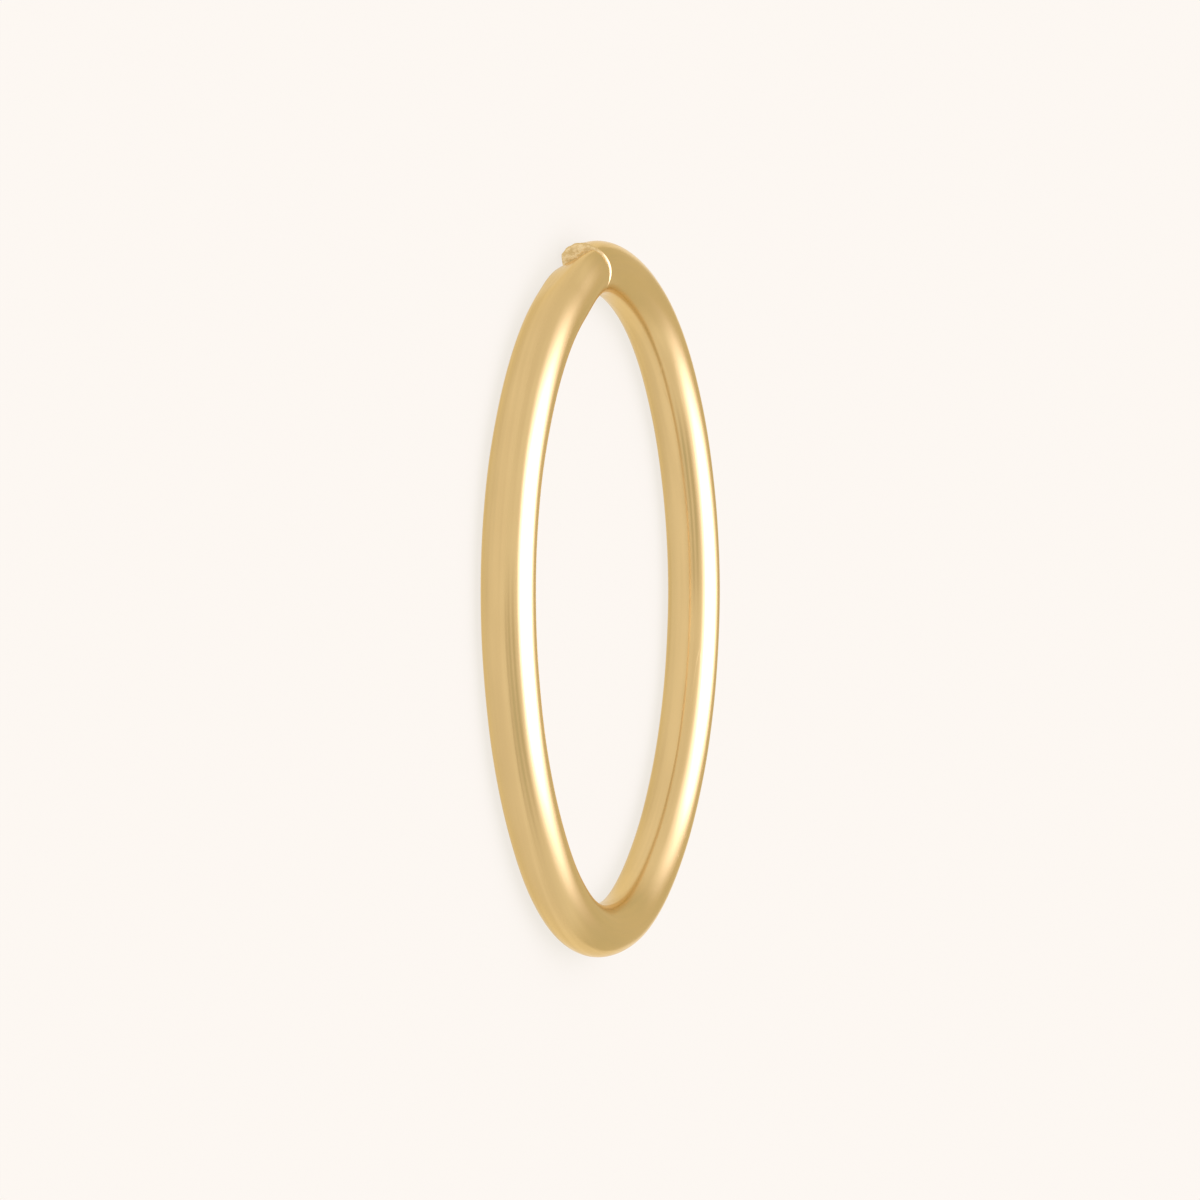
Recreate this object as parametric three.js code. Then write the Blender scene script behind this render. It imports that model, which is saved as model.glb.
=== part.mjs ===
// A seamless hoop: one length of round gold wire, its cut ends rounded over and each filed flat on
// one side, bent into a ring until the two ends meet at a hairline seam. It lies on its side on the
// plane z = 0, with its axis along +Z and the seam towards -X. The origin is below the middle of
// the ring.

import * as THREE from 'three';

// Driving dimensions, in millimetres. Angles are in degrees, round the axis from -X towards -Y.
const WIRE_DIAMETER = 0.81;
const INSIDE_DIAMETER = 9;
const SEAM_ANGLE = 12.5;
const SEAM_GAP = 0.04;
const END_ROUNDING = 0.05;

// Each end's flat: its depth at the end, its direction round the wire from the outer side upwards,
// and its length along the wire
const FIRST_FLAT = { depth: 0.15, towards: -27, length: 1.9 };
const LAST_FLAT = { depth: 0.08, towards: -98, length: 0.4 };

// The ends don't meet quite true: how far each springs out from the circle, and over which stretch
const FIRST_END = { rise: 0.08, stretch: 15 };
const LAST_END = { rise: 0.1, stretch: 26 };

// The bent ring isn't quite round: how many lobes it has, and how far their crests stand out. One
// crest of each kind lies opposite the seam.
const CREST_ANGLE = 174;
const LOBES = [
  { count: 3, height: 0.036 },
  { count: 4, height: 0.027 },
];

// Fineness of the facets. An even number of sides lays one flat of the section on the plane.
const WIRE_SIDES = 20;
const BEND_STEPS = 144;
const ROUNDING_STEPS = 3;

const GOLD = { color: 0xdabb82, roughness: 0.15, metalness: 1 };

// Sizes worked out from the driving dimensions
const WIRE_RADIUS = WIRE_DIAMETER / 2;
const RING_RADIUS = INSIDE_DIAMETER / 2 + WIRE_RADIUS;
const GAP_TURN = SEAM_GAP / RING_RADIUS;
const WIRE_TURN = 2 * Math.PI - GAP_TURN;
const WIRE_LENGTH = RING_RADIUS * WIRE_TURN;
const FIRST_TURN = THREE.MathUtils.degToRad(SEAM_ANGLE) + GAP_TURN / 2;
const LAST_TURN = FIRST_TURN + WIRE_TURN;
const CREST_TURN = THREE.MathUtils.degToRad(CREST_ANGLE);

// The straight wire's outline from its axis, round the rim of one end, along its side, round the
// rim of the other end and back to the axis.
function wireOutline() {
  const faceRadius = WIRE_RADIUS - END_ROUNDING;
  const sideEnd = WIRE_LENGTH - END_ROUNDING;
  const quarter = Math.PI / 2;
  const firstRim = new THREE.EllipseCurve(
    faceRadius, END_ROUNDING, END_ROUNDING, END_ROUNDING, -quarter, 0,
  );
  const side = new THREE.LineCurve(
    new THREE.Vector2(WIRE_RADIUS, END_ROUNDING), new THREE.Vector2(WIRE_RADIUS, sideEnd),
  );
  const lastRim = new THREE.EllipseCurve(
    faceRadius, sideEnd, END_ROUNDING, END_ROUNDING, 0, quarter,
  );
  return [
    new THREE.Vector2(0, 0),
    ...firstRim.getPoints(ROUNDING_STEPS),
    ...side.getPoints(BEND_STEPS).slice(1, -1),
    ...lastRim.getPoints(ROUNDING_STEPS),
    new THREE.Vector2(0, WIRE_LENGTH),
  ];
}

// A straight length of wire along +Y, as thick across its flats as the wire is round
function straightWire() {
  const halfSide = Math.PI / WIRE_SIDES;
  const acrossCorners = 1 / Math.cos(halfSide);
  const wire = new THREE.LatheGeometry(wireOutline(), WIRE_SIDES, halfSide);
  return wire.scale(acrossCorners, 1, acrossCorners);
}

// Moves a point of the wire's section back onto an end's flat where it stands proud of it
function fileFlat(section, fromEnd, flat) {
  const towards = THREE.MathUtils.degToRad(flat.towards);
  const facing = new THREE.Vector2(Math.cos(towards), Math.sin(towards));
  const level = WIRE_RADIUS - flat.depth * (1 - fromEnd / flat.length);
  const proud = Math.max(section.dot(facing) - level, 0);
  section.addScaledVector(facing, -proud);
}

// Files the flats on the straight wire's ends
function fileEnds(wire) {
  const place = wire.attributes.position;
  const section = new THREE.Vector2();
  for (let i = 0; i < place.count; i += 1) {
    const along = place.getY(i);
    section.set(place.getX(i), place.getZ(i));
    fileFlat(section, along, FIRST_FLAT);
    fileFlat(section, WIRE_LENGTH - along, LAST_FLAT);
    place.setXYZ(i, section.x, along, section.y);
  }
  return wire;
}

// An end's rise fades out smoothly over the end's stretch
function endRise(end, turnFromEnd) {
  const stretchTurn = THREE.MathUtils.degToRad(end.stretch);
  return end.rise * (1 - THREE.MathUtils.smoothstep(turnFromEnd, 0, stretchTurn));
}

function centrelineRadius(turn) {
  const firstRise = endRise(FIRST_END, turn - FIRST_TURN);
  const lastRise = endRise(LAST_END, LAST_TURN - turn);
  let radius = RING_RADIUS + firstRise + lastRise;
  for (const { count, height } of LOBES) {
    radius += height * Math.cos(count * (turn - CREST_TURN));
  }
  return radius;
}

// Bends the straight wire round the axis: its length becomes the way round the ring, its X points
// out from the axis, and its Z stays upright.
function bendIntoRing(wire) {
  const place = wire.attributes.position;
  for (let i = 0; i < place.count; i += 1) {
    const turn = FIRST_TURN + place.getY(i) / RING_RADIUS;
    const radius = centrelineRadius(turn) + place.getX(i);
    const height = WIRE_RADIUS + place.getZ(i);
    place.setXYZ(i, -radius * Math.cos(turn), -radius * Math.sin(turn), height);
  }
  wire.computeVertexNormals();
  return wire;
}

const bentWire = bendIntoRing(fileEnds(straightWire()));
const hoop = new THREE.Mesh(bentWire, new THREE.MeshStandardMaterial(GOLD));
hoop.name = 'hoop';

const seamlessHoop = new THREE.Group();
seamlessHoop.name = 'seamless_hoop';
seamlessHoop.add(hoop);

export default seamlessHoop;
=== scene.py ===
import math

import bpy
import numpy as np
from mathutils import Matrix, Vector


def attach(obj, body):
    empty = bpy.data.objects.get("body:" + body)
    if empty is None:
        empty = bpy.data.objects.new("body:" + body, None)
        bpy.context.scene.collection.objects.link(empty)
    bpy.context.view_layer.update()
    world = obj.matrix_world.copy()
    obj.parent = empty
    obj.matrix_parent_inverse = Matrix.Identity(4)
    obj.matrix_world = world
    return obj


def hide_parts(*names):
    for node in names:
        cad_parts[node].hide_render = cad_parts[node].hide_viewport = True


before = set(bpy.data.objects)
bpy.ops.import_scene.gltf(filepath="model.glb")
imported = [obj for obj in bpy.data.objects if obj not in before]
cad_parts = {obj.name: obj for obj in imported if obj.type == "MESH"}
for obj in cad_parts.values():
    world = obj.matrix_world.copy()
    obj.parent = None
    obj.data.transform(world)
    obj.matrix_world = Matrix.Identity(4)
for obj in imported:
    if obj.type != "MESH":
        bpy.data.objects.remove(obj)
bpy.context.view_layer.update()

# A polished gold seamless hoop, lying on its side on a pale studio floor.
# Lengths are in metres and angles in degrees, round the hoop's axis from -X towards -Y.

MM = 0.001
MICRON = 0.000001

# The wire and the ring that it is bent into, measured to the middle of the wire
WIRE_RADIUS = 0.405 * MM
INSIDE_RADIUS = 4.5 * MM
RING_RADIUS = INSIDE_RADIUS + WIRE_RADIUS
SEAM_ANGLE = 12.5
SEAM_GAP = 0.04 * MM
END_ROUNDING = 0.05 * MM

# Each end is filed flat on one side: the flat's depth at the end, its direction round the wire from
# the outer side upwards, and its length along the wire. The flats meet the round softly.
FIRST_FLAT = (0.15 * MM, -27.0, 1.9 * MM)
LAST_FLAT = (0.08 * MM, -98.0, 0.4 * MM)
FLAT_EDGE = 0.02 * MM

# A burr stands out on the last end, with ragged teeth that take a share of its height
BURR_HEIGHT = 0.05 * MM
BURR_LENGTH = 0.15 * MM
BURR_TOWARDS = -42.0
BURR_HALF_BREADTH = 58.0
BURR_TEETH = 19
BURR_RAGGEDNESS = 0.12

# The ends don't meet quite true: how far each springs out from the circle, and over which stretch
FIRST_END_RISE = 0.08 * MM
FIRST_END_STRETCH = 15.0
LAST_END_RISE = 0.10 * MM
LAST_END_STRETCH = 26.0

# The ring isn't quite round: how many lobes it has, and how far their crests stand out. One crest of
# each kind lies opposite the seam.
CREST_ANGLE = 174.0
LOBES = ((3, 0.036 * MM), (4, 0.027 * MM))

# Slight kinks left by the bending: waves round the ring, height and phase
KINKS = ((9, 3.5 * MICRON, 0.4), (14, 2.2 * MICRON, 2.1), (23, 1.2 * MICRON, 4.4))

# The drawn wire's section isn't quite round: flats, depth, turns of drift per mm, phase
SECTION_WAVES = (
    (2, 2.4 * MICRON, 0.021, 0.9),
    (3, 1.6 * MICRON, -0.034, 2.6),
    (5, 0.7 * MICRON, 0.055, 5.1),
)

# Fineness of the visible wire
WIRE_SIDES = 72
SIDE_STEPS = 620
RIM_STEPS = 10
FACE_RINGS = 6

# The gold: where it is brightest and dullest, at a glancing angle, and on the cut faces
GOLD_BRIGHT = (0.755, 0.558, 0.268, 1.0)
GOLD_DEEP = (0.68, 0.495, 0.23, 1.0)
GOLD_EDGE = (1.0, 0.88, 0.62, 1.0)
GOLD_CUT = (0.88, 0.69, 0.39, 1.0)

# The gold's grain: cycles per mm across the wire, along it and upright, and the depth of detail
POLISH_GRAIN = ((9.0, 0.22, 9.0), 1.5)
CLOUD_GRAIN = ((1.6, 0.5, 1.6), 2.0)
SCRATCH_GRAIN = ((7.0, 0.45, 7.0), 0.0)
WEAR_GRAIN = ((0.9, 0.6, 0.9), 1.0)
FILING_GRAIN = ((16.0, 0.0, 12.0), 3.0)

# Scratches follow one level of their grain, at a slant in radians, where the wear is strong
SCRATCH_LEVEL = 0.5
SCRATCH_WIDTH = 0.005
SCRATCH_SLANT = (0.12, 0.0, 0.2)
WEAR_RANGE = (0.5, 0.62)

# Levels of grain over which the gold dulls, the cut faces turn pale and the polish roughens
TONE_RANGE = (0.35, 0.65)
CUT_RANGE = (0.35, 0.6)
POLISH_RANGE = (0.3, 0.7)

# How far from an end the filed rim and the cut face fade out, in roundings of the end
RIM_FADE = (0.5, 1.2)
FACE_FADE = (0.1, 0.5)

# The polish's roughness at its finest and coarsest, and what scratches and filed ends add to it
POLISH_ROUGHNESS = (0.15, 0.22)
SCRATCH_ROUGHNESS = 0.06
END_ROUGHNESS = 0.10

# The height of the polishing lines, and of scratches and filing in shares of it
POLISH_RELIEF = 2.2 * MICRON
SCRATCH_RELIEF = -0.2
FILING_RELIEF = 2.8

# The studio, by direction, with shares of 1 along X, Y and Z: pale walls, dimmer behind the hoop, a
# dim patch with paler lines across it in front to one side, and a soft, cooler oval light overhead.
# Each fade says where a change begins and where it ends.
WALL_LIGHT = (0.96, 0.918, 0.868, 1.0)
DIM_LIGHT = (0.70, 0.65, 0.55, 1.0)
DIM_FADE = (0.5, 0.85)
OVERHEAD_LIGHT = (4.6, 4.5, 6.2, 1.0)
OVERHEAD_LEAN = (-0.025, 0.12)
OVERHEAD_REACH = (0.82, 0.75)
OVERHEAD_FADE = (0.35, 1.07)

# The patch: how many dim bands it has over a height of 1, the height of one of them, how strongly
# they differ from the lines between them, and how dim the patch is on average
PATCH_LIGHT = (0.60, 0.55, 0.46, 1.0)
PATCH_TOWARDS = (0.62, -0.74, 0.27)
PATCH_FADE = (0.6, 0.98)
PATCH_BANDS = 3.7
PATCH_BAND_HEIGHT = 0.29
PATCH_CONTRAST = 0.5
PATCH_DIMNESS = 0.55

# The pale floor, most of whose light comes from inside it
FLOOR_HALF_WIDTH = 0.6
FLOOR_ALBEDO = (0.08, 0.076, 0.062, 1.0)
FLOOR_GLOW = (0.815, 0.780, 0.731, 1.0)
FLOOR_ROUGHNESS = 0.9

# The photograph's camera: its elevation and roll, its place in ring radii, and its lens
PHOTO_SIZE = 1200
CAMERA_ELEVATION = 16.4
CAMERA_ROLL = 90.195
CAMERA_DISTANCE = 28.99 * RING_RADIUS
CAMERA_RIGHT = -0.0121 * RING_RADIUS
CAMERA_UP = -0.0026 * RING_RADIUS
FOCAL_PIXELS = 9484.4
SENSOR_WIDTH = 36.0
CLIP_START = 0.001
CLIP_END = 10.0

# The film's toe, which shows the deepest golds a little paler: a dark level in that colour, how bright
# it is shown, and the level from which on all is shown as it is
FILM_TOES = {"green": (0.22, 0.27, 0.40), "blue": (0.05, 0.085, 0.16)}

# Sizes worked out from those above
GAP_TURN = SEAM_GAP / RING_RADIUS
FIRST_TURN = math.radians(SEAM_ANGLE) + GAP_TURN / 2
LAST_TURN = FIRST_TURN + 2 * math.pi - GAP_TURN
WIRE_LENGTH = RING_RADIUS * (LAST_TURN - FIRST_TURN)


def end_rise(rise, stretch, turn_from_end):
    """How far an end stands off the circle, fading out smoothly over its stretch."""
    share = np.clip(turn_from_end / math.radians(stretch), 0, 1)
    return rise * (1 - share * share * (3 - 2 * share))


def centreline_radius(turn):
    """The distance of the wire's middle from the hoop's axis."""
    radius = RING_RADIUS + end_rise(FIRST_END_RISE, FIRST_END_STRETCH, turn - FIRST_TURN)
    radius = radius + end_rise(LAST_END_RISE, LAST_END_STRETCH, LAST_TURN - turn)
    for count, crest in LOBES:
        radius = radius + crest * np.cos(count * (turn - math.radians(CREST_ANGLE)))
    for count, crest, phase in KINKS:
        radius = radius + crest * np.cos(count * turn + phase)
    return radius


def wire_outline():
    """Rows along the straight wire, from one end face round both rims to the other: along, out."""
    face_radius = WIRE_RADIUS - END_ROUNDING
    face = [(0.0, face_radius * k / FACE_RINGS) for k in range(1, FACE_RINGS)]
    rim = []
    for k in range(RIM_STEPS + 1):
        angle = math.pi / 2 * k / RIM_STEPS
        along = END_ROUNDING * (1 - math.cos(angle))
        out = face_radius + END_ROUNDING * math.sin(angle)
        rim.append((along, out))
    end = np.array(face + rim)
    side_along = np.linspace(END_ROUNDING, WIRE_LENGTH - END_ROUNDING, SIDE_STEPS + 1)[1:-1]
    side = np.column_stack([side_along, np.full(len(side_along), WIRE_RADIUS)])
    far_end = end[::-1].copy()
    far_end[:, 0] = WIRE_LENGTH - far_end[:, 0]
    return np.vstack([end, side, far_end])


def file_flat(out, up, from_end, flat):
    """The wire's section, out and up, with one side of an end filed away."""
    depth, towards, length = flat
    across = math.cos(math.radians(towards))
    upright = math.sin(math.radians(towards))
    level = WIRE_RADIUS - depth * (1 - from_end / length)
    over = out * across + up * upright - level
    cut = (over + np.hypot(over, FLAT_EDGE)) / 2
    return out - cut * across, up - cut * upright


def burr(around, along):
    """How far the last end's burr stands out from the wire."""
    turn = np.degrees(np.arccos(np.cos(around - math.radians(BURR_TOWARDS))))
    crest = np.clip(1 - (turn / BURR_HALF_BREADTH) ** 2, 0, 1)
    ragged = 1 - BURR_RAGGEDNESS + BURR_RAGGEDNESS * np.cos(BURR_TEETH * around)
    share = np.clip(1 - (WIRE_LENGTH - END_ROUNDING - along) / BURR_LENGTH, 0, 1)
    return BURR_HEIGHT * crest * ragged * share * share


def section_depth(around, along):
    """How far the drawn wire's surface dips below a true round."""
    depth = np.zeros((len(along), len(around)))
    for flats, height, drift, phase in SECTION_WAVES:
        turned = flats * around[None, :] + 2 * math.pi * drift * along[:, None] / MM + phase
        depth = depth + height * (1 + np.cos(turned)) / 2
    return depth


def bend(straight):
    """Bends points of the straight wire (out, along, up) round the hoop's axis."""
    turn = FIRST_TURN + straight[:, 1] / RING_RADIUS
    radius = centreline_radius(turn) + straight[:, 0]
    height = WIRE_RADIUS + straight[:, 2]
    return np.column_stack([-radius * np.cos(turn), -radius * np.sin(turn), height])


def wire_faces(rows):
    """Quads between the rows, and a fan round the middle of each end face."""
    first_middle = rows * WIRE_SIDES
    last_middle = first_middle + 1
    top_row = (rows - 1) * WIRE_SIDES
    faces = []
    for row in range(rows - 1):
        low = row * WIRE_SIDES
        high = low + WIRE_SIDES
        for side in range(WIRE_SIDES):
            after = (side + 1) % WIRE_SIDES
            faces.append((low + side, high + side, high + after, low + after))
    for side in range(WIRE_SIDES):
        after = (side + 1) % WIRE_SIDES
        faces.append((first_middle, side, after))
        faces.append((last_middle, top_row + after, top_row + side))
    return faces


def make_hoop():
    """The whole wire as one smooth closed mesh, with its place on the straight wire kept in mm."""
    outline = wire_outline()
    from_first = outline[:, 0:1]
    around = 2 * math.pi * np.arange(WIRE_SIDES) / WIRE_SIDES
    from_round = burr(around, from_first) - section_depth(around, outline[:, 0])
    reach = outline[:, 1:2] * (1 + from_round / WIRE_RADIUS)
    out, up = file_flat(reach * np.cos(around), reach * np.sin(around), from_first, FIRST_FLAT)
    out, up = file_flat(out, up, WIRE_LENGTH - from_first, LAST_FLAT)
    along = np.repeat(outline[:, 0], WIRE_SIDES)
    straight = np.column_stack([out.ravel(), along, up.ravel()])
    straight = np.vstack([straight, [0, 0, 0], [0, WIRE_LENGTH, 0]])
    mesh = bpy.data.meshes.new("gold_hoop")
    mesh.from_pydata(bend(straight).tolist(), [], wire_faces(len(outline)))
    mesh.polygons.foreach_set("use_smooth", [True] * len(mesh.polygons))
    place = mesh.attributes.new("wire_place", "FLOAT_VECTOR", "POINT")
    place.data.foreach_set("vector", (straight / MM).ravel())
    mesh.validate()
    hoop = bpy.data.objects.new("gold_hoop", mesh)
    bpy.context.scene.collection.objects.link(hoop)
    return hoop


def node(tree, kind, **settings):
    """Adds a shader node and sets its properties."""
    made = tree.nodes.new(kind)
    for key, value in settings.items():
        setattr(made, key, value)
    return made


def feed(tree, socket, value):
    """Links a socket to another node's output, or sets it to a constant."""
    if isinstance(value, bpy.types.NodeSocket):
        tree.links.new(value, socket)
    else:
        socket.default_value = value


def set_inputs(tree, made, **values):
    """Feeds a node's input sockets by name, with _ for a space."""
    for key, value in values.items():
        feed(tree, made.inputs[key.replace("_", " ")], value)
    return made


def maths(tree, operation, *values):
    """One sum, from sockets and numbers."""
    made = node(tree, "ShaderNodeMath", operation=operation)
    for socket, value in zip(made.inputs, values):
        feed(tree, socket, value)
    return made.outputs["Value"]


def step(tree, value, low, high, at_low=0.0, at_high=1.0):
    """A smooth change from one level to another while a value goes from low to high."""
    made = node(tree, "ShaderNodeMapRange", interpolation_type="SMOOTHSTEP")
    set_inputs(tree, made, Value=value, From_Min=low, From_Max=high, To_Min=at_low, To_Max=at_high)
    return made.outputs["Result"]


def mix(tree, share, first, second):
    """Two colours mixed, with a share of the second."""
    made = node(tree, "ShaderNodeMix", data_type="RGBA")
    for name, value in (("Factor_Float", share), ("A_Color", first), ("B_Color", second)):
        socket = next(item for item in made.inputs if item.identifier == name)
        feed(tree, socket, value)
    return next(item for item in made.outputs if item.identifier == "Result_Color")


def noise(tree, place, grain, slant=(0.0, 0.0, 0.0)):
    """Noise of one grain over the straight wire."""
    scale, detail = grain
    mapping = node(tree, "ShaderNodeMapping")
    set_inputs(tree, mapping, Vector=place, Rotation=slant, Scale=scale)
    made = node(tree, "ShaderNodeTexNoise")
    set_inputs(tree, made, Vector=mapping.outputs["Vector"], Scale=1.0, Detail=detail)
    return made.outputs["Fac"]


def hairlines(tree, place):
    """Thin scratches along one level of a stretched noise, some of the way only."""
    level = noise(tree, place, SCRATCH_GRAIN, SCRATCH_SLANT)
    away = maths(tree, "ABSOLUTE", maths(tree, "SUBTRACT", level, SCRATCH_LEVEL))
    line = step(tree, away, 0.0, SCRATCH_WIDTH, 1.0, 0.0)
    worn = step(tree, noise(tree, place, WEAR_GRAIN), *WEAR_RANGE)
    return maths(tree, "MULTIPLY", line, worn)


def near_end(tree, from_end, fade):
    """1 at the ends of the wire and 0 along it, from the distance to the nearer end in mm."""
    begins, ends = fade
    return step(tree, from_end, begins * END_ROUNDING / MM, ends * END_ROUNDING / MM, 1.0, 0.0)


def gold_material():
    """Polished yellow gold: polishing lines along the wire, hairline scratches, filed ends."""
    material = bpy.data.materials.new("polished_gold")
    material.use_nodes = True
    tree = material.node_tree
    shader = tree.nodes["Principled BSDF"]
    place = node(tree, "ShaderNodeAttribute", attribute_name="wire_place").outputs["Vector"]
    split = node(tree, "ShaderNodeSeparateXYZ")
    feed(tree, split.inputs["Vector"], place)
    along = split.outputs["Y"]

    streaks = noise(tree, place, POLISH_GRAIN)
    clouds = noise(tree, place, CLOUD_GRAIN)
    scratches = hairlines(tree, place)

    from_last = maths(tree, "SUBTRACT", WIRE_LENGTH / MM, along)
    from_end = maths(tree, "MINIMUM", along, from_last)
    at_end = near_end(tree, from_end, RIM_FADE)
    at_face = near_end(tree, from_end, FACE_FADE)
    filing = maths(tree, "MULTIPLY", noise(tree, place, FILING_GRAIN), at_end)

    tone = maths(tree, "DIVIDE", maths(tree, "ADD", streaks, clouds), 2.0)
    colour = mix(tree, step(tree, tone, *TONE_RANGE), GOLD_BRIGHT, GOLD_DEEP)
    pale = maths(tree, "MULTIPLY", at_face, step(tree, filing, *CUT_RANGE))
    colour = mix(tree, pale, colour, GOLD_CUT)

    rough = step(tree, streaks, *POLISH_RANGE, *POLISH_ROUGHNESS)
    rough = maths(tree, "MULTIPLY_ADD", scratches, SCRATCH_ROUGHNESS, rough)
    rough = maths(tree, "MULTIPLY_ADD", at_end, END_ROUGHNESS, rough)

    relief = maths(tree, "MULTIPLY_ADD", scratches, SCRATCH_RELIEF, streaks)
    relief = maths(tree, "MULTIPLY_ADD", filing, FILING_RELIEF, relief)
    bump = node(tree, "ShaderNodeBump")
    set_inputs(tree, bump, Strength=1.0, Distance=POLISH_RELIEF, Height=relief)

    set_inputs(tree, shader, Metallic=1.0, Specular_Tint=GOLD_EDGE)
    set_inputs(tree, shader, Base_Color=colour, Roughness=rough)
    set_inputs(tree, shader, Normal=bump.outputs["Normal"])
    return material


def make_floor():
    """A plain pale floor, a little lit from below like a studio's acrylic table."""
    half = FLOOR_HALF_WIDTH
    mesh = bpy.data.meshes.new("floor")
    corners = [(-half, -half, 0), (half, -half, 0), (half, half, 0), (-half, half, 0)]
    mesh.from_pydata(corners, [], [(0, 1, 2, 3)])
    floor = bpy.data.objects.new("floor", mesh)
    bpy.context.scene.collection.objects.link(floor)
    material = bpy.data.materials.new("pale_floor")
    material.use_nodes = True
    tree = material.node_tree
    shader = tree.nodes["Principled BSDF"]
    set_inputs(tree, shader, Base_Color=FLOOR_ALBEDO, Roughness=FLOOR_ROUGHNESS)
    set_inputs(tree, shader, Specular_IOR_Level=0.0)
    set_inputs(tree, shader, Emission_Color=FLOOR_GLOW, Emission_Strength=1.0)
    mesh.materials.append(material)
    return floor


def patch_share(tree, direction, upwards):
    """How far the walls give way to the dim patch, which has level bands."""
    nearness = node(tree, "ShaderNodeVectorMath", operation="DOT_PRODUCT")
    feed(tree, nearness.inputs[0], direction)
    feed(tree, nearness.inputs[1], PATCH_TOWARDS)
    patch = step(tree, nearness.outputs["Value"], *PATCH_FADE)
    from_band = maths(tree, "SUBTRACT", upwards, PATCH_BAND_HEIGHT)
    turn = maths(tree, "MULTIPLY", from_band, 2 * math.pi * PATCH_BANDS)
    bands = maths(tree, "MULTIPLY_ADD", maths(tree, "COSINE", turn), PATCH_CONTRAST, PATCH_DIMNESS)
    return maths(tree, "MULTIPLY", patch, bands)


def overhead_share(tree, sideways, backwards):
    """How far the walls give way to the oval light overhead."""
    squared = 0.0
    for part, lean, reach in zip((sideways, backwards), OVERHEAD_LEAN, OVERHEAD_REACH):
        share = maths(tree, "DIVIDE", maths(tree, "SUBTRACT", part, lean), reach)
        squared = maths(tree, "MULTIPLY_ADD", share, share, squared)
    spread = maths(tree, "SQRT", squared)
    return step(tree, spread, *OVERHEAD_FADE, 1.0, 0.0)


def make_world():
    """The studio: pale walls, dimmer behind and to one side, with a soft light overhead."""
    world = bpy.data.worlds.new("studio")
    bpy.context.scene.world = world
    world.use_nodes = True
    tree = world.node_tree
    direction = node(tree, "ShaderNodeTexCoord").outputs["Generated"]
    split = node(tree, "ShaderNodeSeparateXYZ")
    feed(tree, split.inputs["Vector"], direction)
    sideways, backwards, upwards = (split.outputs[axis] for axis in "XYZ")

    light = mix(tree, step(tree, backwards, *DIM_FADE), WALL_LIGHT, DIM_LIGHT)
    light = mix(tree, patch_share(tree, direction, upwards), light, PATCH_LIGHT)
    light = mix(tree, overhead_share(tree, sideways, backwards), light, OVERHEAD_LIGHT)
    set_inputs(tree, tree.nodes["Background"], Color=light)


def make_camera():
    """The photograph's view of the hoop: its seam side is up in the picture."""
    data = bpy.data.cameras.new("camera")
    data.sensor_width = SENSOR_WIDTH
    data.lens = FOCAL_PIXELS * SENSOR_WIDTH / PHOTO_SIZE
    data.clip_start = CLIP_START
    data.clip_end = CLIP_END
    camera = bpy.data.objects.new("camera", data)
    bpy.context.scene.collection.objects.link(camera)
    tilt = Matrix.Rotation(math.radians(90.0 - CAMERA_ELEVATION), 4, "X")
    turned = tilt @ Matrix.Rotation(math.radians(CAMERA_ROLL), 4, "Z")
    offset = Vector((CAMERA_RIGHT, CAMERA_UP, CAMERA_DISTANCE))
    middle = Vector((0, 0, WIRE_RADIUS))
    camera.matrix_world = Matrix.Translation(middle + turned.to_3x3() @ offset) @ turned
    bpy.context.scene.camera = camera


def set_film():
    """Colours shown as they are, apart from the film's toe."""
    view = bpy.context.scene.view_settings
    view.view_transform = "Standard"
    view.use_curve_mapping = True
    curves = dict(zip(("red", "green", "blue"), view.curve_mapping.curves))
    for colour, (dark, shown, plain) in FILM_TOES.items():
        points = curves[colour].points
        points.new(dark, shown)
        points.new(plain, plain)
        for point in points:
            point.handle_type = "VECTOR"
    view.curve_mapping.update()


hoop = make_hoop()
hoop.data.materials.append(gold_material())
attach(hoop, "root")
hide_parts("hoop")

make_floor()
make_world()
make_camera()
set_film()
